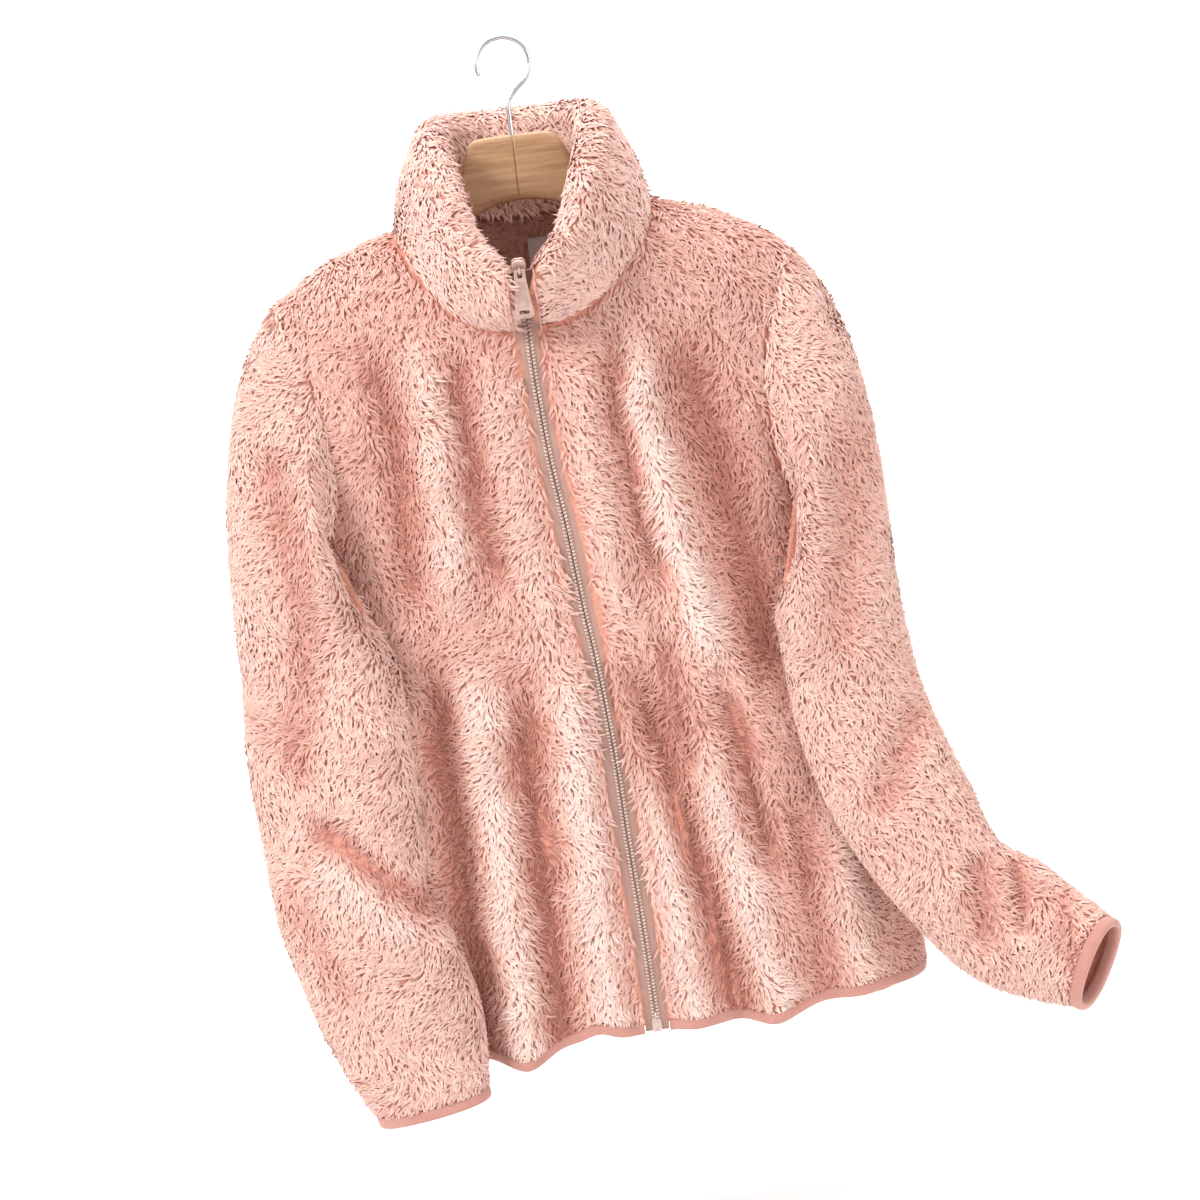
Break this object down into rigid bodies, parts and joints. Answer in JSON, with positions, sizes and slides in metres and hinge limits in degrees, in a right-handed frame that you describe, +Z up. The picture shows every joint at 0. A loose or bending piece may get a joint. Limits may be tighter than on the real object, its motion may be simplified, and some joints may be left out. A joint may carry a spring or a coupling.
{
  "type": "fleece jacket on a wooden hanger",
  "caption": "Long-pile fleece jacket with a stand collar and full front zip, hanging on a flat wooden hanger.",
  "frame": {"origin": "the inside top of the hanger's hook, where the rail bears", "axes": "+Z up, the front of the jacket faces -Y, +X to the wearer's left"},
  "size_m": [0.6293, 0.1974, 0.8018],
  "materials": {
    "fleece": "long soft pile",
    "binding": "stretch knit, matt",
    "zip_teeth": "moulded, satin",
    "zip_tape": "woven",
    "zip_metal": "satin coat",
    "wood": "satin varnish",
    "steel": "polished wire",
    "label": "woven, plain"
  },
  "bodies": {
    "jacket": {"back": "fleece", "front_left": "fleece", "front_right": "fleece", "sleeve_left": "fleece", "sleeve_right": "fleece", "collar": "fleece", "hem_binding": "binding", "cuff_binding_left": "binding", "cuff_binding_right": "binding", "zip_teeth": "zip_teeth", "zip_tape_left": "zip_tape", "zip_tape_right": "zip_tape", "zip_slider": "zip_metal", "zip_box": "zip_teeth", "hanger_left": "wood", "hanger_right": "wood", "hook": "steel", "label": "label"},
    "pull": {"zip_pull": "zip_metal"}
  },
  "joints": [
    {"name": "pull_swing", "type": "hinge", "parent": "jacket", "child": "pull", "pos_m": [-0.00602, -0.09632, -0.16671], "axis": [-1, 0, 0], "range_deg": [0, 120]}
  ]
}
